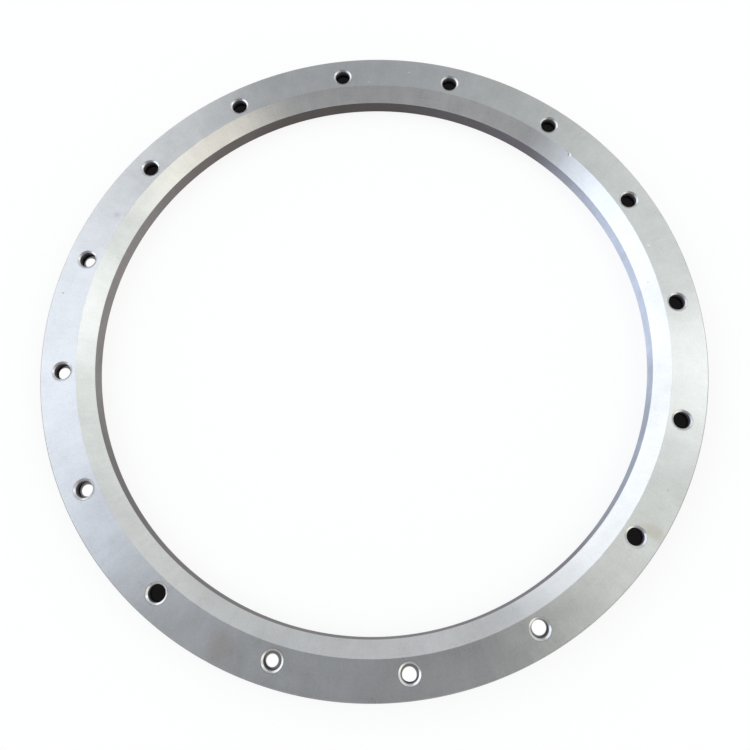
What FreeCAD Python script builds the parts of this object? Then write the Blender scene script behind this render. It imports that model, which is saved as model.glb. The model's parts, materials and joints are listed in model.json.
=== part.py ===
import FreeCAD, Part
import os

# Forged flange ring, turned all over: a flat bolting flange above, a collar under it round the bore,
# a bevel from the upper face into the bore, and countersunk holes for bolts on one circle.
# Lengths are millimetres. Z is the ring's axis and runs up from the collar's foot, where it is 0.
# The first bolt hole lies on +X.

# Bore and bevel
BORE_DIA = 621.0
BEVEL_WIDTH = 15.5
BEVEL_DEPTH = 12.5

# Collar under the flange
COLLAR_WALL = 13.5
COLLAR_HEIGHT = 18.0
ROOT_FILLET = 2.0
FOOT_BREAK = 1.0

# Flange
FLANGE_THICKNESS = 12.0
EDGE_DISTANCE = 24.0
RIM_BREAK = 1.0

# Bolts that fasten it, and the room they need
BOLT_COUNT = 16
BOLT_DIA = 16.0
BOLT_CLEARANCE = 1.0
WASHER_DIA = 30.0
WASHER_CLEARANCE = 2.0
COUNTERSINK_WIDTH = 2.0
COUNTERSINK_DEPTH = 1.2
HOLE_BREAK = 0.5

# A hole's cutter stands this far out of the flange at both ends
CUTTER_OVERRUN = 1.0

# Radii, from the bore outwards
bore_radius = BORE_DIA / 2
mouth_radius = bore_radius + BEVEL_WIDTH
collar_radius = bore_radius + COLLAR_WALL
bolt_circle_radius = collar_radius + WASHER_CLEARANCE + WASHER_DIA / 2
rim_radius = bolt_circle_radius + EDGE_DISTANCE

# Levels, from the foot upwards
underside_z = COLLAR_HEIGHT
face_z = underside_z + FLANGE_THICKNESS
bevel_foot_z = face_z - BEVEL_DEPTH

hole_radius = BOLT_DIA / 2 + BOLT_CLEARANCE
axis = FreeCAD.Vector(0, 0, 1)
centre = FreeCAD.Vector(0, 0, 0)


def at(radius, z):
    """A point of the ring's section, in the plane of X and Z."""
    return FreeCAD.Vector(radius, 0, z)


def polyline(points):
    """Straight edges through the points, in order."""
    return [Part.LineSegment(a, b).toShape() for a, b in zip(points, points[1:])]


def root_fillet():
    """The quarter round between the flange's underside and the collar's outside."""
    middle = ROOT_FILLET * (1 - 0.5 ** 0.5)
    start = at(collar_radius + ROOT_FILLET, underside_z)
    on_arc = at(collar_radius + middle, underside_z - middle)
    end = at(collar_radius, underside_z - ROOT_FILLET)
    return Part.Arc(start, on_arc, end).toShape()


def turned_blank():
    """The section turned round the axis, before drilling."""
    upper = [
        at(bore_radius + FOOT_BREAK, 0),
        at(bore_radius, FOOT_BREAK),
        at(bore_radius, bevel_foot_z),
        at(mouth_radius, face_z),
        at(rim_radius - RIM_BREAK, face_z),
        at(rim_radius, face_z - RIM_BREAK),
        at(rim_radius, underside_z + RIM_BREAK),
        at(rim_radius - RIM_BREAK, underside_z),
        at(collar_radius + ROOT_FILLET, underside_z),
    ]
    lower = [
        at(collar_radius, underside_z - ROOT_FILLET),
        at(collar_radius, FOOT_BREAK),
        at(collar_radius - FOOT_BREAK, 0),
        at(bore_radius + FOOT_BREAK, 0),
    ]
    outline = Part.Wire(polyline(upper) + [root_fillet()] + polyline(lower))
    return Part.Face(outline).revolve(centre, axis, 360)


def hole_cutter():
    """A bolt hole on +X: its countersink above, and a broken edge below."""
    bottom = underside_z - CUTTER_OVERRUN
    top = face_z + CUTTER_OVERRUN
    spread = COUNTERSINK_WIDTH / COUNTERSINK_DEPTH
    outline = Part.makePolygon([
        at(0, bottom),
        at(hole_radius + HOLE_BREAK + CUTTER_OVERRUN, bottom),
        at(hole_radius, underside_z + HOLE_BREAK),
        at(hole_radius, face_z - COUNTERSINK_DEPTH),
        at(hole_radius + COUNTERSINK_WIDTH + CUTTER_OVERRUN * spread, top),
        at(0, top),
        at(0, bottom),
    ])
    cutter = Part.Face(outline).revolve(centre, axis, 360)
    cutter.translate(at(bolt_circle_radius, 0))
    return cutter


def forged_ring():
    """The drilled ring."""
    cutters = []
    for index in range(BOLT_COUNT):
        cutter = hole_cutter()
        cutter.rotate(centre, axis, index * 360 / BOLT_COUNT)
        cutters.append(cutter)
    return turned_blank().cut(cutters)


os.makedirs("parts", exist_ok=True)
ring = forged_ring()
ring.exportStep("parts/ring.step")
print("ring:", len(ring.Solids), "solid, valid", ring.isValid(), "volume", round(ring.Volume / 1000), "cm3")
print("rim diameter", 2 * rim_radius, "bolt circle", 2 * bolt_circle_radius, "collar", 2 * collar_radius)
print("bevel mouth", 2 * mouth_radius, "bore wall", bevel_foot_z - FOOT_BREAK, "height", face_z)
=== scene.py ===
import json
import math

import bpy
from mathutils import Matrix, Vector


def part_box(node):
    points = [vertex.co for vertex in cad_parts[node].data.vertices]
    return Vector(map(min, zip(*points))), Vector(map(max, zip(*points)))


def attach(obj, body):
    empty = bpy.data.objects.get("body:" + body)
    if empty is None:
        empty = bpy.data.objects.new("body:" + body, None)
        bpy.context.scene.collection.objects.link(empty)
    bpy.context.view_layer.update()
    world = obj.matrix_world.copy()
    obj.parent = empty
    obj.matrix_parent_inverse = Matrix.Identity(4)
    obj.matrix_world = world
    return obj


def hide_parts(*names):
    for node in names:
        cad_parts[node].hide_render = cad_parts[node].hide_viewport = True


# Forged flange ring, turned all over, lying on a pale floor.
# Lengths are metres. The ring's axis is Z, its foot stands at 0 and its first bolt hole is on +X.

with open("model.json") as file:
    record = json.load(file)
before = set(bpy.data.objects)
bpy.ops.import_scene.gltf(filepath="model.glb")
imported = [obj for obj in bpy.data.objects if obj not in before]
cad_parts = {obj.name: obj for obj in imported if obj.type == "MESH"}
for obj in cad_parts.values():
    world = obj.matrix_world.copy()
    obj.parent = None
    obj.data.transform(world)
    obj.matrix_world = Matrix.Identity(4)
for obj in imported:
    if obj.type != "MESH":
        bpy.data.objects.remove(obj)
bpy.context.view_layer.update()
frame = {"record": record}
MM = 0.001

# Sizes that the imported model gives
mounts = {mount["name"]: mount for mount in frame["record"]["mounts"]}
bolts = mounts["bolt_holes"]["dims"]
bore = mounts["bore"]
ring_lo, ring_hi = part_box("ring")
BOLT_COUNT = bolts["count"]
BOLT_CIRCLE = bolts["pcd_mm"] / 2 * MM
HOLE_RADIUS = bolts["hole_r_mm"] * MM
BORE_RADIUS = bore["dims"]["r_mm"] * MM
BEVEL_FOOT = bore["pos_m"][2] + bore["dims"]["length_mm"] / 2 * MM
COLLAR_RADIUS = mounts["collar"]["dims"]["r_mm"] * MM
SEAT = mounts["flange_seat"]["pos_m"][2]
FOOT = ring_lo[2]
FACE = ring_hi[2]
RIM_RADIUS = min(abs(ring_lo[0]), abs(ring_lo[1]), ring_hi[0], ring_hi[1])

# Sizes of its edges. CRISP and SOFT are the small radii that every machined edge keeps.
BEVEL_WIDTH = 15.5 * MM
RIM_BREAK = 1.0 * MM
FOOT_BREAK = 1.0 * MM
ROOT_FILLET = 2.0 * MM
SINK_WIDTH = 2.0 * MM
SINK_DEPTH = 1.2 * MM
HOLE_BREAK = 0.5 * MM
CRISP = 0.12 * MM
SOFT = 0.3 * MM

# The nick in the edge between the face and the bevel: its place, its size, the way that it is pushed in,
# how round it is, how many columns to each side of it are closer, and how much closer
NICK_ANGLE = 37.5
NICK_LENGTH = 3.2 * MM
NICK_REACH = 2.2 * MM
NICK_DEPTH = 0.8 * MM
NICK_WAY = Vector((0.55, -0.83))
NICK_ROUND = 1.5
NICK_COLUMNS = 2
NICK_CLOSER = 4

# Mesh: columns round the ring, and a patch of columns and rows round each bolt hole.
# Angles are counted in ticks, TICKS_EACH to a column.
COLUMNS = 768
TICKS_EACH = 8
TICKS = COLUMNS * TICKS_EACH
SECTOR = TICKS // BOLT_COUNT
PATCH = 12
PATCH_HALF = 13.6 * MM
PATCH_START = -PATCH // 2 * TICKS_EACH

# Rows: the steps round a corner, the rows beside the bevel's mouth and the rim, and the parts of the sides
CORNER_STEPS = 3
MOUTH_ROW = 0.7 * MM
RIM_ROW = 5.0 * MM
RIM_PARTS = 3
COLLAR_PARTS = 4
FOOT_PARTS = 3
BORE_PARTS = 4
BEVEL_PARTS = 6
BEVEL_END = [0.92, 0.96]

# Bolt holes: the angle of the patch's first corner from the way outwards, corners round a hole, parts of its
# wall, and rings out to its patch, wider apart as they go out
HOLE_START = -135
HOLE_CORNERS = 4 * PATCH
HOLE_PARTS = 4
HOLE_RINGS = 4
HOLE_SPREAD = 1.3
HOLE_MARGIN = 0.8 * MM

# Map of the surface: one tile for each bolt hole's sector
TILES_WIDE = 5
TILES_HIGH = 4
TILE_MARGIN = 2.0 * MM

# Camera, read from the photograph, in which the first hole stands PHOTO_TURN degrees further round
PHOTO_TURN = 6.61
CAMERA_AT = (26.67 * MM, -207.23 * MM, 681.43 * MM)
CAMERA_TO = (15.34 * MM, -28.57 * MM, 30.0 * MM)
CAMERA_ROLL = 0.163
LENS = 29.79
SENSOR = 36.0
SHIFT_X = -0.0142
SHIFT_Y = -0.01845


def from_photo(point):
    """A point of the photograph's level frame, in the ring's frame."""
    return Matrix.Rotation(math.radians(-PHOTO_TURN), 3, "Z") @ Vector(point)


def about(axis_angle, radius, height):
    """A point at an angle and radius round the ring's axis."""
    return Vector((radius * math.cos(axis_angle), radius * math.sin(axis_angle), height))


def angle_of(tick):
    """The angle round the ring's axis of a tick."""
    return 2 * math.pi * tick / TICKS


# The ring's section and its bolt holes

def left_of(way):
    """The unit vector to the left of a way in the plane of a section."""
    return Vector((-way[1], way[0]))


def corner_rows(before, corner, after, radius):
    """Rows round one corner of a section: each is a point and its outward normal."""
    way_in = (corner - before).normalized()
    way_out = (after - corner).normalized()
    bend = math.atan2(way_in[0] * way_out[1] - way_in[1] * way_out[0], way_in.dot(way_out))
    side = -math.copysign(1.0, bend)
    start = corner - way_in * radius * math.tan(abs(bend) / 2)
    centre = start - side * radius * left_of(way_in)
    rows = []
    for step in range(CORNER_STEPS + 1):
        way = Matrix.Rotation(bend * step / CORNER_STEPS, 2) @ way_in
        rows.append((centre + side * radius * left_of(way), left_of(way)))
    return rows


def side_rows(start, end, shares):
    """Rows on a straight side, at shares of its length."""
    normal = left_of((end - start).normalized())
    return [(start.lerp(end, share), normal) for share in shares]


def even(count):
    """Shares that divide a side into equal parts."""
    return [k / count for k in range(1, count)]


def patch_radii():
    """Radii of the rows that cross a patch, from the inside out."""
    inner = BOLT_CIRCLE - PATCH_HALF
    return [inner + 2 * PATCH_HALF * k / PATCH for k in range(PATCH + 1)]


def shares_of(radii, start, end):
    """Shares of a level side at which these radii lie, in its own order."""
    return sorted((radius - start) / (end - start) for radius in radii)


def section():
    """Corners of the ring's section from the bevel's mouth outwards: radius, height, edge radius, the shares
    of the side that starts there, and the finish of that side."""
    mouth = BORE_RADIUS + BEVEL_WIDTH
    rim_in = RIM_RADIUS - RIM_BREAK
    seat_radii = patch_radii() + [RIM_RADIUS - RIM_ROW]
    face_radii = seat_radii + [mouth + MOUTH_ROW]
    return [
        (mouth, FACE, SOFT, shares_of(face_radii, mouth, rim_in), "turned"),
        (rim_in, FACE, CRISP, [], "edged"),
        (RIM_RADIUS, FACE - RIM_BREAK, CRISP, even(RIM_PARTS), "turned"),
        (RIM_RADIUS, SEAT + RIM_BREAK, CRISP, [], "turned"),
        (rim_in, SEAT, CRISP, shares_of(seat_radii, rim_in, COLLAR_RADIUS), "turned"),
        (COLLAR_RADIUS, SEAT, ROOT_FILLET, even(COLLAR_PARTS), "turned"),
        (COLLAR_RADIUS, FOOT + FOOT_BREAK, CRISP, [], "turned"),
        (COLLAR_RADIUS - FOOT_BREAK, FOOT, CRISP, even(FOOT_PARTS), "turned"),
        (BORE_RADIUS + FOOT_BREAK, FOOT, CRISP, [], "bored"),
        (BORE_RADIUS, FOOT + FOOT_BREAK, CRISP, even(BORE_PARTS), "bored"),
        (BORE_RADIUS, BEVEL_FOOT, SOFT, even(BEVEL_PARTS) + BEVEL_END, "bevelled"),
    ]


def section_rows():
    """All rows of the section: point, normal and the finish of the strip that starts there."""
    corners = section()
    points = [Vector(corner[:2]) for corner in corners]
    rows = []
    for index, (_, _, radius, shares, finish) in enumerate(corners):
        after = points[(index + 1) % len(points)]
        both = corner_rows(points[index - 1], points[index], after, radius)
        both += side_rows(points[index], after, shares)
        rows += [(point, normal, finish) for point, normal in both]
    return rows


def hole_rows():
    """Rows along a bolt hole's wall, from the underside up to the face: each is a point, which gives the
    distance from the hole's axis and the height, and its normal."""
    corners = [
        (HOLE_RADIUS + HOLE_BREAK + HOLE_MARGIN, SEAT),
        (HOLE_RADIUS + HOLE_BREAK, SEAT),
        (HOLE_RADIUS, SEAT + HOLE_BREAK),
        (HOLE_RADIUS, FACE - SINK_DEPTH),
        (HOLE_RADIUS + SINK_WIDTH, FACE),
        (HOLE_RADIUS + SINK_WIDTH + HOLE_MARGIN, FACE),
    ]
    points = [Vector(corner) for corner in corners]
    rows = [(points[0], Vector((0, -1)))]
    for before, corner, after in zip(points, points[1:], points[2:]):
        rows += corner_rows(before, corner, after, CRISP)
        if after[1] - corner[1] > SINK_DEPTH / 2:
            rows += side_rows(corner, after, even(HOLE_PARTS))
    return rows + [(points[-1], Vector((0, 1)))]


def lengths(rows):
    """Distance along the section of each row."""
    total, out = 0.0, [0.0]
    for row, after in zip(rows, rows[1:]):
        total += (after[0] - row[0]).length
        out.append(total)
    return out


def nicked(place, angle):
    """A point of the section at this angle, pushed in by the nick where it is near."""
    mouth = Vector((BORE_RADIUS + BEVEL_WIDTH, FACE))
    along = (angle - math.radians(NICK_ANGLE)) * mouth[0] / (NICK_LENGTH / 2)
    across = (place - mouth).length / NICK_REACH
    near = 1 - along ** 2 - across ** 2
    if abs(along) > 1 or near <= 0:
        return place
    return place + NICK_WAY * NICK_DEPTH * near ** NICK_ROUND


def columns():
    """Ticks of the columns, from one side of the first patch right round, closer at the nick."""
    nick = round(NICK_ANGLE / 360 * TICKS)
    span = NICK_COLUMNS * TICKS_EACH
    fine = range(nick - span, nick + span, TICKS_EACH // NICK_CLOSER)
    return sorted(set(range(PATCH_START, PATCH_START + TICKS, TICKS_EACH)) | set(fine))


# The ring's mesh

class Skin:
    """Collects the ring's vertices, normals, faces and map."""

    def __init__(self):
        self.places, self.normals = [], []
        self.faces, self.finishes, self.maps = [], [], []

    def point(self, place, normal):
        """Adds a vertex and gives its number. Without a normal it takes the mesh's own."""
        self.places.append(place)
        self.normals.append(normal)
        return len(self.places) - 1

    def face(self, corners, spots, finish):
        """Adds a face, with the map's place of each of its corners."""
        self.faces.append(corners)
        self.maps += spots
        self.finishes.append(finish)


class Map:
    """Places on the surface's map, where each bolt hole's sector has a tile of its own."""

    def __init__(self, length, wall):
        self.wall_from = length + TILE_MARGIN
        self.wide = angle_of(SECTOR) * BOLT_CIRCLE + TILE_MARGIN
        self.high = self.wall_from + wall + TILE_MARGIN
        self.size = max(TILES_WIDE * self.wide, TILES_HIGH * self.high)

    def spot(self, sector, u, v):
        """A place in a tile, u to the side of its middle and v above its foot."""
        column, row = sector % TILES_WIDE, sector // TILES_WIDE
        u += (column + 0.5) * self.wide
        v += row * self.high + TILE_MARGIN / 2
        return u / self.size, v / self.size

    def corners(self, sector, left, right, low, high):
        """The four corners of an upright rectangle in a tile."""
        places = ((left, low), (left, high), (right, high), (right, low))
        return [self.spot(sector, *place) for place in places]


class Lathe:
    """Turns the section round the axis, and lets the bolt holes into patches of the face and underside."""

    def __init__(self):
        self.rows = section_rows()
        self.ticks = columns()
        self.path = lengths(self.rows)
        self.girth = self.path[-1] + (self.rows[0][0] - self.rows[-1][0]).length
        self.wall = hole_rows()
        self.wall_path = lengths(self.wall)
        self.map = Map(self.girth, self.wall_path[-1])
        self.skin = Skin()
        self.face_first = self.row_at(BOLT_CIRCLE - PATCH_HALF, FACE)
        self.seat_first = self.row_at(BOLT_CIRCLE + PATCH_HALF, SEAT)
        self.patches = [self.ticks.index(SECTOR * sector + PATCH_START) for sector in range(BOLT_COUNT)]
        self.vertices = []
        self.turn()
        self.strips()
        for sector, first in enumerate(self.patches):
            self.drill(sector, first)

    def row_at(self, radius, height):
        """The row that lies nearest to this place of the section."""
        place = Vector((radius, height))
        return min(range(len(self.rows)), key=lambda index: (self.rows[index][0] - place).length)

    def crosses(self, index, margin):
        """Whether a row crosses the patches, at least this many rows after their first."""
        return any(first + margin <= index < first + PATCH for first in (self.face_first, self.seat_first))

    def turn(self):
        """Vertices of every row, except inside the patches."""
        inside = {first + k for first in self.patches for k in range(1, PATCH)}
        for index, (point, normal, _) in enumerate(self.rows):
            crosses = self.crosses(index, 1)
            line = []
            for column, tick in enumerate(self.ticks):
                if crosses and column in inside:
                    line.append(None)
                    continue
                angle = angle_of(tick)
                moved = nicked(point, angle)
                own = None if moved != point else about(angle, *normal)
                line.append(self.skin.point(about(angle, *moved), own))
            self.vertices.append(line)

    def strips(self):
        """Faces between neighbouring rows and columns, except inside the patches."""
        patched = {first + k for first in self.patches for k in range(PATCH)}
        ends = self.path[1:] + [self.girth]
        for index, (_, _, finish) in enumerate(self.rows):
            crosses = self.crosses(index, 0)
            low, high = self.vertices[index], self.vertices[(index + 1) % len(self.rows)]
            for column, tick in enumerate(self.ticks):
                if crosses and column in patched:
                    continue
                beside = (column + 1) % len(self.ticks)
                next_tick = self.ticks[beside] if beside else self.ticks[0] + TICKS
                sector = (tick + SECTOR // 2) // SECTOR
                left, right = (angle_of(side - SECTOR * sector) * BOLT_CIRCLE for side in (tick, next_tick))
                spots = self.map.corners(sector, left, right, self.path[index], ends[index])
                self.skin.face((low[column], high[column], high[beside], low[beside]), spots, finish)

    def patch_loop(self, rows, first):
        """The vertices round a patch, in order of angle about its hole. Its rows run from the inside out."""
        loop = [(rows[k], first) for k in range(PATCH)]
        loop += [(rows[PATCH], first + k) for k in range(PATCH)]
        loop += [(rows[PATCH - k], first + PATCH) for k in range(PATCH)]
        loop += [(rows[0], first + PATCH - k) for k in range(PATCH)]
        return [self.vertices[row][column] for row, column in loop]

    def drill(self, sector, first):
        """One bolt hole: its wall, and rings from there out to the patches of the underside and the face."""
        skin = self.skin
        axis = about(angle_of(SECTOR * sector), BOLT_CIRCLE, 0)
        out = axis.normalized()
        across = Vector((-out[1], out[0], 0))
        turns = [math.radians(HOLE_START + 360 * i / HOLE_CORNERS) for i in range(HOLE_CORNERS)]
        ways = [out * math.cos(turn) + across * math.sin(turn) for turn in turns]

        def circle(point, normal):
            """Vertices round the hole's axis."""
            rise = Vector((0, 0, point[1]))
            lean = Vector((0, 0, normal[1]))
            return [skin.point(axis + way * point[0] + rise, way * normal[0] + lean) for way in ways]

        def rings(edge, loop, normal):
            """Rings between the hole's edge and the patch's, from the hole outwards."""
            pairs = [(skin.places[a], skin.places[b]) for a, b in zip(edge, loop)]
            shares = [share ** HOLE_SPREAD for share in even(HOLE_RINGS)]
            return [[skin.point(start.lerp(end, share), normal) for start, end in pairs] for share in shares]

        def on_flat(row, sign):
            """A function that gives the map's place of a vertex of the face or the underside."""
            def place(vertex):
                x, y, _ = skin.places[vertex]
                radius = math.hypot(x, y)
                aside = math.asin((x * across[0] + y * across[1]) / radius) * BOLT_CIRCLE
                return self.map.spot(sector, aside, self.path[row] + sign * (radius - self.rows[row][0][0]))
            return place

        def quads(low, high):
            """Faces between two loops, each with its place in their order."""
            for i in range(HOLE_CORNERS):
                j = (i + 1) % HOLE_CORNERS
                yield i, (low[i], high[i], high[j], low[j])

        face_rows = [self.face_first + k for k in range(PATCH + 1)]
        seat_rows = [self.seat_first + PATCH - k for k in range(PATCH + 1)]
        face_loop = self.patch_loop(face_rows, first)
        seat_loop = self.patch_loop(seat_rows, first)
        circles = [circle(point, normal) for point, normal in self.wall]
        seat_chain = [seat_loop] + rings(circles[0], seat_loop, Vector((0, 0, -1)))[::-1] + [circles[0]]
        face_chain = [circles[-1]] + rings(circles[-1], face_loop, Vector((0, 0, 1))) + [face_loop]
        flats = ((seat_chain, on_flat(seat_rows[0], -1)), (face_chain, on_flat(face_rows[0], 1)))
        for chain, place in flats:
            for low, high in zip(chain, chain[1:]):
                for _, quad in quads(low, high):
                    skin.face(quad, [place(vertex) for vertex in quad], "turned")

        foot = self.map.wall_from
        step = 2 * math.pi * (HOLE_RADIUS + SINK_WIDTH / 2) / HOLE_CORNERS
        for level, (low, high) in enumerate(zip(circles, circles[1:])):
            finish = "sunk" if self.wall[level][0][1] > FACE - SINK_DEPTH - CRISP else "drilled"
            span = (foot + self.wall_path[level], foot + self.wall_path[level + 1])
            for i, quad in quads(low, high):
                left = (i - HOLE_CORNERS / 2) * step
                skin.face(quad, self.map.corners(sector, left, left + step, *span), finish)


def to_mesh(skin, name, finishes):
    """A mesh object of the skin, with its own normals, map and materials."""
    mesh = bpy.data.meshes.new(name)
    mesh.from_pydata(skin.places, [], skin.faces)
    map_layer = mesh.uv_layers.new(name="OFBake")
    map_layer.data.foreach_set("uv", [number for spot in skin.maps for number in spot])
    for material in finishes.values():
        mesh.materials.append(material)
    order = list(finishes)
    mesh.polygons.foreach_set("material_index", [order.index(finish) for finish in skin.finishes])
    mesh.shade_smooth()
    own = [vertex.normal.copy() for vertex in mesh.vertices]
    mesh.normals_split_custom_set_from_vertices([given or found for given, found in zip(skin.normals, own)])
    piece = bpy.data.objects.new(name, mesh)
    bpy.context.scene.collection.objects.link(piece)
    return piece


# Materials

# Tool marks in the steel: pitch across the turning, length along it and detail of the noise
FINE = (0.7 * MM, 90.0 * MM, 2.0)
BROAD = (4.0 * MM, 260.0 * MM, 3.0)
FAN = (45.0 * MM, 8.0 * MM, 3.0)
TOOL_ROUGH = 0.6

# Blotches in it: size, and detail and roughness of the noise
MOTTLE = (26.0 * MM, 4.0, 0.6)
CLOUD = (90.0 * MM, 3.0, 0.55)
GRAIN = (1.8 * MM, 2.0, 0.6)

# How strongly each shows in the steel's colour, roughness and height
IN_COLOUR = {"fan": 0.15, "mottle": 0.24, "cloud": 0.30, "broad": 0.05, "fine": 0.05, "grain": 0.24}
IN_ROUGHNESS = {"fan": 0.05, "mottle": 0.06, "broad": 0.05, "fine": 0.05, "grain": 0.03}
IN_HEIGHT = {"fine": 1.0, "broad": 1.6, "grain": 0.35}
BUMP = 0.015 * MM
QUARTER_TURN = 0.25


class Nodes:
    """Adds nodes to a material or the world, each call giving one output."""

    def __init__(self, owner):
        owner.use_nodes = True
        self.tree = owner.node_tree
        self.tree.nodes.clear()

    def add(self, kind, inputs=None, output=0, **settings):
        """A node of this kind, with values or other nodes' outputs in its inputs."""
        node = self.tree.nodes.new(kind)
        for name, value in settings.items():
            setattr(node, name, value)
        for name, value in (inputs or {}).items():
            socket = node.inputs[name]
            if isinstance(value, bpy.types.NodeSocket):
                self.tree.links.new(value, socket)
            else:
                socket.default_value = value
        return node.outputs[output] if node.outputs else node

    def maths(self, operation, *values):
        return self.add("ShaderNodeMath", dict(enumerate(values)), operation=operation)

    def vector(self, operation, *values):
        """A vector worked out from others."""
        return self.add("ShaderNodeVectorMath", dict(enumerate(values)), operation=operation)

    def scaled(self, vector, factor):
        return self.add("ShaderNodeVectorMath", {0: vector, "Scale": factor}, operation="SCALE")

    def measure(self, operation, *values):
        """A number worked out from vectors."""
        return self.add("ShaderNodeVectorMath", dict(enumerate(values)), "Value", operation=operation)

    def parts(self, vector):
        """A vector's three parts."""
        node = self.tree.nodes.new("ShaderNodeSeparateXYZ")
        self.tree.links.new(vector, node.inputs[0])
        return tuple(node.outputs)

    def grey(self, value):
        """A colour with this value in all its parts."""
        return self.add("ShaderNodeCombineXYZ", {0: value, 1: value, 2: value})

    def noise(self, place, scale, detail, rough, extra=None):
        """Noise from 0 to 1, in three dimensions, or four with an extra one."""
        inputs = {"Vector": place, "Scale": scale, "Detail": detail, "Roughness": rough}
        if extra is not None:
            inputs["W"] = extra
        return self.add("ShaderNodeTexNoise", inputs, noise_dimensions="3D" if extra is None else "4D")

    def ramp(self, value, low, high, to_low=0.0, to_high=1.0):
        """The value's stretch from low to high, spread smoothly over another."""
        inputs = {"Value": value, "From Min": low, "From Max": high, "To Min": to_low, "To Max": to_high}
        return self.add("ShaderNodeMapRange", inputs, interpolation_type="SMOOTHSTEP")

    def mix(self, share, a, b):
        """A colour between two. The mix node has its colours at inputs 6 and 7 and at output 2."""
        return self.add("ShaderNodeMix", {"Factor": share, 6: a, 7: b}, output=2, data_type="RGBA")

    def edge(self, distance, half, soft):
        """1 within half, then falling to 0 over a soft edge. Both are degrees and the distance radians."""
        return self.ramp(distance, math.radians(half - soft / 2), math.radians(half + soft / 2), 1.0, 0.0)

    def total(self, start, *terms):
        """start plus each (weight, value from 0 to 1) about its middle."""
        out = start
        for weight, value in terms:
            out = self.maths("MULTIPLY_ADD", self.maths("SUBTRACT", value, 0.5), weight, out)
        return out


class TurnedNodes(Nodes):
    """The nodes of a turned surface, with where each point of it lies on the ring."""

    def __init__(self, owner):
        super().__init__(owner)
        self.place = self.add("ShaderNodeTexCoord", output="Object")
        self.x, self.y, self.z = self.parts(self.place)
        level = self.add("ShaderNodeCombineXYZ", {0: self.x, 1: self.y})
        self.radius = self.measure("LENGTH", level)
        self.way = self.vector("NORMALIZE", level)
        self.rise = self.add("ShaderNodeCombineXYZ", {2: self.radius})
        self.mottle = self.blotches(*MOTTLE)

    def marks(self, across, along, detail):
        """Noise of this pitch across the turning, and this length along it."""
        spread = self.scaled(self.way, RIM_RADIUS / along)
        both = self.vector("ADD", spread, self.scaled(self.rise, 1 / across))
        return self.noise(both, 1.0, detail, TOOL_ROUGH, self.maths("DIVIDE", self.z, across))

    def blotches(self, size, detail, rough):
        """Noise of this size in all directions."""
        return self.noise(self.place, 1 / size, detail, rough)


def steel(name, shade, rough, anisotropy=0.0, groove=1.0, patchy=1.0, dress=None):
    """Turned steel: rings of tool marks round the axis, a fan of faint streaks across them, mottling and
    grain. groove strengthens the finest rings and patchy the streaks and the mottling. dress changes the
    colour by the place on the ring."""
    material = bpy.data.materials.new(name)
    nodes = TurnedNodes(material)
    layers = {
        "fine": nodes.marks(*FINE),
        "broad": nodes.marks(*BROAD),
        "fan": nodes.marks(*FAN),
        "mottle": nodes.mottle,
        "cloud": nodes.blotches(*CLOUD),
        "grain": nodes.blotches(*GRAIN),
    }
    gains = {"fine": groove, "fan": patchy, "mottle": patchy, "cloud": patchy}

    def varied(start, weights, gains):
        """start plus each layer by its weight and its gain."""
        terms = [(weight * gains.get(layer, 1.0), layers[layer]) for layer, weight in weights.items()]
        return nodes.total(start, *terms)

    colour = nodes.grey(nodes.maths("MULTIPLY", varied(1.0, IN_COLOUR, gains), shade))
    if dress:
        colour = dress(nodes, colour)
    roughness = varied(rough, IN_ROUGHNESS, {**gains, "grain": patchy})
    height = varied(0.0, IN_HEIGHT, gains)
    bump = nodes.add("ShaderNodeBump", {"Height": height, "Strength": 1.0, "Distance": BUMP})
    tangent = nodes.add("ShaderNodeTangent", direction_type="RADIAL", axis="Z")
    shader = nodes.add("ShaderNodeBsdfPrincipled", {
        "Base Color": colour, "Metallic": 1.0, "Roughness": roughness, "Normal": bump,
        "Anisotropic": anisotropy, "Anisotropic Rotation": QUARTER_TURN, "Tangent": tangent,
    })
    nodes.add("ShaderNodeOutputMaterial", {"Surface": shader})
    return material


# Stains, dull patches, and near-white painted highlights where small dents and the nick catch the light:
# angle, radius, half length along the turning and half width across it in mm, strength and colour
STAINS_AND_GLINTS = [
    (238.6, 350.0, 17.0, 24.0, 0.34, (0.44, 0.37, 0.31)),
    (317.4, 352.0, 10.0, 17.0, 0.42, (0.44, 0.38, 0.29)),
    (146.8, 335.5, 5.5, 6.5, 0.35, (0.36, 0.33, 0.41)),
    (13.0, 345.0, 2.0, 10.0, 0.20, (0.36, 0.36, 0.34)),
    (164.9, 354.2, 1.1, 1.7, 0.65, (0.12, 0.12, 0.13)),
    (324.8, 346.6, 1.6, 1.2, 0.40, (0.25, 0.24, 0.22)),
    # Painted highlights of small dents
    (76.2, 347.4, 2.8, 1.3, 0.75, (0.95, 0.95, 0.95)),
    (84.5, 331.0, 1.5, 1.8, 0.80, (0.95, 0.95, 0.95)),
    (12.3, 332.0, 1.2, 1.2, 0.80, (0.95, 0.95, 0.95)),
    (5.2, 318.1, 1.5, 1.5, 0.45, (0.30, 0.30, 0.28)),
    # Painted highlight on the nick
    (NICK_ANGLE, 327.0, 2.0, 1.8, 0.95, (1.0, 1.0, 1.0)),
]
MARK_SOFT = 0.75
MARK_RAGGED = 1.2


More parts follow.
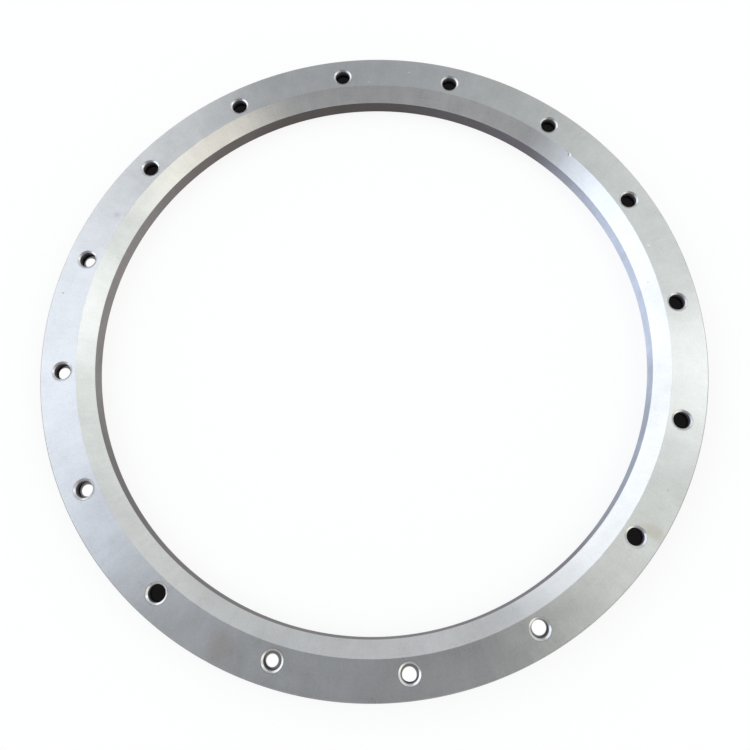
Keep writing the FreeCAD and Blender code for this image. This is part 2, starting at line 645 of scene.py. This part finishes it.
def stains_and_glints(nodes, colour):
    """Lays the stains and the painted highlights over the turned steel's colour."""
    around = nodes.maths("ARCTAN2", nodes.y, nodes.x)
    ragged = nodes.total(0.0, (MARK_RAGGED, nodes.mottle))
    for angle, out, along, across, strength, tint in STAINS_AND_GLINTS:
        aside = nodes.maths("SUBTRACT", around, math.radians(angle))
        aside = nodes.maths("WRAP", aside, math.pi, -math.pi)
        u = nodes.maths("MULTIPLY", aside, out / along)
        v = nodes.maths("MULTIPLY_ADD", nodes.radius, 1 / (across * MM), -out / across)
        reach = nodes.maths("SQRT", nodes.maths("MULTIPLY_ADD", u, u, nodes.maths("MULTIPLY", v, v)))
        reach = nodes.maths("ADD", reach, ragged)
        colour = nodes.mix(nodes.ramp(reach, 1 - MARK_SOFT, 1.0, strength, 0.0), colour, (*tint, 1))
    return colour


# The bolt holes' walls: pale at the countersink, then painted shade darkens them to black below
HOLE_PALE = 0.50
HOLE_BLACK = 0.03
HOLE_TINT = (0.96, 0.86, 1.0)
HOLE_FADE = 8.0 * MM


def painted_hole_shade(nodes, colour):
    """Paints shade into a bolt hole's wall, darker downwards."""
    top = FACE - SINK_DEPTH
    shade = nodes.ramp(nodes.z, top - HOLE_FADE, top, HOLE_BLACK, HOLE_PALE)
    return nodes.vector("MULTIPLY", colour, nodes.scaled(HOLE_TINT, shade))


# The bore wall's colours are painted reflection and shade: dark brown at its far side, dim at the left, pale
# blue at the right and darker at the near side. A span says how far over to its side a colour sets in and is
# full, and RAGGED how uneven that is.
BORE_SHADED = (0.090, 0.080, 0.076)
BORE_DIM = (0.265, 0.245, 0.247)
BORE_LIT = (0.560, 0.600, 0.630)
BORE_BLUE_SHEEN = (1.0, 1.04, 1.2)
BORE_NEAR_SHADE = 0.6
DARKEST_ANGLE = 93.0
BORE_SHADED_SPAN = (0.35, 1.10)
NEAR_SPAN = (-0.5, 0.05)
BORE_LIT_SPAN = (0.60, 0.95)
BLUE_SHEEN_SPAN = (-0.2, 0.5)
BORE_SHADED_RAGGED = 0.25
BORE_LIT_RAGGED = 0.08


def painted_bore_reflection(nodes, colour):
    """Paints reflection and shade into the bore wall's colour by the way that it lies from the axis."""
    def lean(angle):
        return nodes.measure("DOT_PRODUCT", nodes.way, from_photo(about(math.radians(angle), 1, 0)))

    far = nodes.total(lean(DARKEST_ANGLE), (BORE_SHADED_RAGGED, nodes.mottle))
    right = nodes.total(lean(0.0), (BORE_LIT_RAGGED, nodes.mottle))
    tint = nodes.mix(nodes.ramp(far, *BORE_SHADED_SPAN), (*BORE_DIM, 1), (*BORE_SHADED, 1))
    tint = nodes.mix(nodes.ramp(right, *BORE_LIT_SPAN), tint, (*BORE_LIT, 1))
    cool = nodes.mix(nodes.ramp(right, *BLUE_SHEEN_SPAN), (1, 1, 1, 1), (*BORE_BLUE_SHEEN, 1))
    tint = nodes.vector("MULTIPLY", tint, cool)
    tint = nodes.scaled(tint, nodes.ramp(far, *NEAR_SPAN, BORE_NEAR_SHADE, 1.0))
    return nodes.vector("MULTIPLY", colour, tint)


# Each finish: shade, roughness, how far the turning stretches its gloss, and the rest of what steel() takes
FINISHES = {
    # The turned and bevelled steel carry stains and painted highlights of dents.
    "turned": dict(shade=0.60, rough=0.30, anisotropy=0.9, groove=1.3, dress=stains_and_glints),
    "bevelled": dict(shade=0.60, rough=0.30, anisotropy=0.9, groove=1.5, patchy=1.3, dress=stains_and_glints),
    # The bore wall's colour holds painted reflection and shade.
    "bored": dict(shade=1.0, rough=0.42, anisotropy=0.75, groove=1.6, patchy=1.4, dress=painted_bore_reflection),
    # edged, on the rim's outer break, is dark: a painted line of shade round the rim's edge.
    "edged": dict(shade=0.32, rough=0.45),
    "sunk": dict(shade=0.50, rough=0.28, groove=0.6),
    # The drilled walls hold painted shade, darker downwards.
    "drilled": dict(shade=1.0, rough=0.6, dress=painted_hole_shade),
}


# Surroundings

# The floor. To the camera and the steel it is part plain white and part lit, so that it keeps soft shadows.
FLOOR_SIZE = 60.0
FLOOR_SHADE = 0.92
FLOOR_WHITE = 0.85

# A painted shadow under the ring's overhang, from DARK_FROM outwards. It leaves DARK_REST of the light below
# the rim, and fades out before DARK_TO round a middle that lies a little behind the ring's axis.
DARK_FROM = 312.0 * MM
DARK_REST = 0.07
DARK_MIDDLE = (-0.8 * MM, 5.5 * MM, 0.0)
DARK_TO = 377.0 * MM
DARK_FADE = 17.0 * MM

# Painted shade where the photograph's camera sees the floor through the bolt holes: the light left there,
# and these spots' blur
DARK_SHADE = 0.010
DARK_BLUR = 7.0 * MM

# Painted pools of light on the floor below some holes: angle, radius and size in mm. Each has a faint
# painted halo.
PAINTED_LIT_SPOTS = [
    (293.0, 346.1, 8.0), (269.9, 347.4, 7.9), (246.9, 347.3, 6.8), (201.6, 349.6, 7.0), (179.0, 353.4, 7.2),
    (156.6, 354.6, 6.6),
]
LIT_FADE = 1.0 * MM
HALO = 7.0 * MM
HALO_SHADE = 0.16

# The sky: white at the horizon, falling to a slightly blue grey overhead
HORIZON = 1.0
ZENITH = (0.28, 0.29, 0.30)
FALL = 1.13

# Its soft-edged windows, placed in the photograph's frame: azimuth, half width, edge, elevation, half
# height, edge and colour. Angles are degrees.
WINDOWS = [
    (150, 35, 15, 30, 17.5, 5, (1.4, 1.5, 1.6)),
    (20, 50, 35, 50, 30, 5, (0.7, 0.75, 0.7)),
    (20, 10, 15, 52.5, 7.5, 5, (2.4, 2.4, 2.4)),
    (150, 20, 5, 70, 20, 5, (1.2, 1.3, 1.5)),
    (95, 20, 5, 35, 10, 15, (0.35, 0.4, 0.45)),
    (195, 12.5, 20, 35, 20, 5, (1.6, 1.8, 2.1)),
    (320, 20, 20, 25, 25, 5, (1.2, 1.1, 0.9)),
]


def sky():
    """A plain sky, white at the horizon and grey overhead, with soft-edged windows round it."""
    world = bpy.data.worlds.new("sky")
    nodes = Nodes(world)
    x, y, z = nodes.parts(nodes.add("ShaderNodeTexCoord", output="Generated"))
    around = nodes.maths("ARCTAN2", y, x)
    above = nodes.maths("ARCSINE", z)
    fall = nodes.maths("POWER", nodes.maths("SUBTRACT", 1.0, nodes.maths("MAXIMUM", z, 0.0)), FALL)
    colour = nodes.mix(fall, (*ZENITH, 1), (HORIZON, HORIZON, HORIZON, 1))
    for azimuth, wide, side_edge, elevation, high, top_edge, tint in WINDOWS:
        aside = nodes.maths("SUBTRACT", around, math.radians(azimuth - PHOTO_TURN))
        aside = nodes.maths("ABSOLUTE", nodes.maths("WRAP", aside, math.pi, -math.pi))
        away = nodes.maths("ABSOLUTE", nodes.maths("SUBTRACT", above, math.radians(elevation)))
        share = nodes.maths("MULTIPLY", nodes.edge(aside, wide, side_edge), nodes.edge(away, high, top_edge))
        colour = nodes.vector("ADD", colour, nodes.scaled(tint, share))
    shader = nodes.add("ShaderNodeBackground", {"Color": colour, "Strength": 1.0})
    nodes.add("ShaderNodeOutputWorld", {"Surface": shader})
    bpy.context.scene.world = world


def painted_overhang_shadow(nodes, place):
    """How dark the painted shadow makes the floor below the ring's overhang, from 0 to 1."""
    off = nodes.measure("DISTANCE", place, from_photo(DARK_MIDDLE))
    beyond = nodes.maths("SUBTRACT", off, RIM_RADIUS)
    slant = nodes.maths("SQRT", nodes.maths("MULTIPLY_ADD", beyond, beyond, SEAT ** 2))
    dark = nodes.maths("MULTIPLY_ADD", nodes.maths("DIVIDE", beyond, slant), -DARK_REST, 1.0 - DARK_REST)
    dark = nodes.maths("MULTIPLY", dark, nodes.ramp(off, DARK_TO - DARK_FADE, DARK_TO, 1.0, 0.0))
    under_ring = nodes.maths("GREATER_THAN", nodes.measure("LENGTH", place), DARK_FROM)
    return nodes.maths("MULTIPLY", dark, under_ring)


def miss(nodes, place, level):
    """How far a floor point's line to the photograph's camera passes from a hole's axis at a level."""
    share = level / CAMERA_AT[2]
    eye = from_photo((CAMERA_AT[0], CAMERA_AT[1], 0)) * share
    there = nodes.vector("MULTIPLY_ADD", place, (1 - share,) * 3, eye)
    x, y, _ = nodes.parts(there)
    reach = nodes.measure("LENGTH", there)
    around = nodes.maths("WRAP", nodes.maths("ARCTAN2", y, x), math.pi / BOLT_COUNT, -math.pi / BOLT_COUNT)
    ahead = nodes.maths("MULTIPLY_ADD", nodes.maths("COSINE", around), -2 * BOLT_CIRCLE, reach)
    return nodes.maths("SQRT", nodes.maths("MULTIPLY_ADD", reach, ahead, BOLT_CIRCLE ** 2))


def painted_shade_through_holes(nodes, place):
    """How dark the painted shade makes the floor where the photograph's camera sees it through a bolt hole,
    from 0 to 1.
    """
    low, high = (miss(nodes, place, level) for level in (SEAT + HOLE_BREAK, FACE - SINK_DEPTH))
    span = (HOLE_RADIUS + SOFT, HOLE_RADIUS + DARK_BLUR)
    return nodes.ramp(nodes.maths("MAXIMUM", low, high), *span, 1.0 - DARK_SHADE, 0.0)


def painted_light_pools(nodes, place):
    """How bright the painted pools of light on the floor are, from 0 to 1."""
    lit = 0.0
    for angle, out, size in PAINTED_LIT_SPOTS:
        away = nodes.measure("DISTANCE", place, about(math.radians(angle), out * MM, 0))
        lit = nodes.maths("MAXIMUM", nodes.ramp(away, size * MM - LIT_FADE, size * MM, 1.0, 0.0), lit)
        lit = nodes.maths("MAXIMUM", nodes.ramp(away, size * MM, size * MM + HALO, HALO_SHADE, 0.0), lit)
    return lit


def floor():
    """A wide white floor under the ring, with a painted shadow under the overhang, painted shade seen
    through the bolt holes and painted pools of light below some of them.
    """
    half = FLOOR_SIZE / 2
    mesh = bpy.data.meshes.new("floor")
    corners = [(-half, -half, 0), (half, -half, 0), (half, half, 0), (-half, half, 0)]
    mesh.from_pydata(corners, [], [(0, 1, 2, 3)])
    material = bpy.data.materials.new("floor")
    nodes = Nodes(material)
    place = nodes.add("ShaderNodeTexCoord", output="Object")
    # The floor's shade is painted: a shadow under the overhang and in the bolt holes, lightened by painted
    # pools of light.
    dark = nodes.maths("MAXIMUM", painted_overhang_shadow(nodes, place), painted_shade_through_holes(nodes, place))
    lit = painted_light_pools(nodes, place)
    shade = nodes.maths("SUBTRACT", 1.0, nodes.maths("MULTIPLY", dark, nodes.maths("SUBTRACT", 1.0, lit)))
    plain = nodes.maths("MULTIPLY_ADD", lit, 1.0 - FLOOR_WHITE, FLOOR_WHITE)
    kinds = nodes.tree.nodes.new("ShaderNodeLightPath").outputs
    seen = nodes.maths("MAXIMUM", kinds["Is Camera Ray"], kinds["Is Glossy Ray"])
    seen = nodes.maths("MAXIMUM", seen, kinds["Is Transmission Ray"])
    grey = nodes.grey(nodes.maths("MULTIPLY", shade, FLOOR_SHADE))
    diffuse = nodes.add("ShaderNodeBsdfDiffuse", {"Color": grey})
    white = nodes.add("ShaderNodeEmission", {"Color": (1, 1, 1, 1), "Strength": shade})
    plainly = nodes.maths("MULTIPLY", seen, plain)
    shader = nodes.add("ShaderNodeMixShader", {0: plainly, 1: diffuse, 2: white})
    nodes.add("ShaderNodeOutputMaterial", {"Surface": shader})
    mesh.materials.append(material)
    piece = bpy.data.objects.new("floor", mesh)
    bpy.context.scene.collection.objects.link(piece)


def camera():
    """The photograph's camera."""
    data = bpy.data.cameras.new("camera")
    data.sensor_width = SENSOR
    data.lens = LENS
    data.shift_x = SHIFT_X
    data.shift_y = SHIFT_Y
    ahead = (Vector(CAMERA_TO) - Vector(CAMERA_AT)).normalized()
    right = ahead.cross(Vector((0, 1, 0))).normalized()
    right = Matrix.Rotation(math.radians(-CAMERA_ROLL), 3, ahead) @ right
    axes = [from_photo(right), from_photo(right.cross(ahead)), from_photo(-ahead)]
    piece = bpy.data.objects.new("camera", data)
    piece.matrix_world = Matrix.Translation(from_photo(CAMERA_AT)) @ Matrix(axes).transposed().to_4x4()
    bpy.context.scene.collection.objects.link(piece)
    bpy.context.scene.camera = piece


finishes = {name: steel(name, **settings) for name, settings in FINISHES.items()}
ring = to_mesh(Lathe().skin, "forged_ring", finishes)
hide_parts("ring")
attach(ring, "root")
sky()
floor()
camera()
bpy.context.scene.view_settings.view_transform = "Standard"
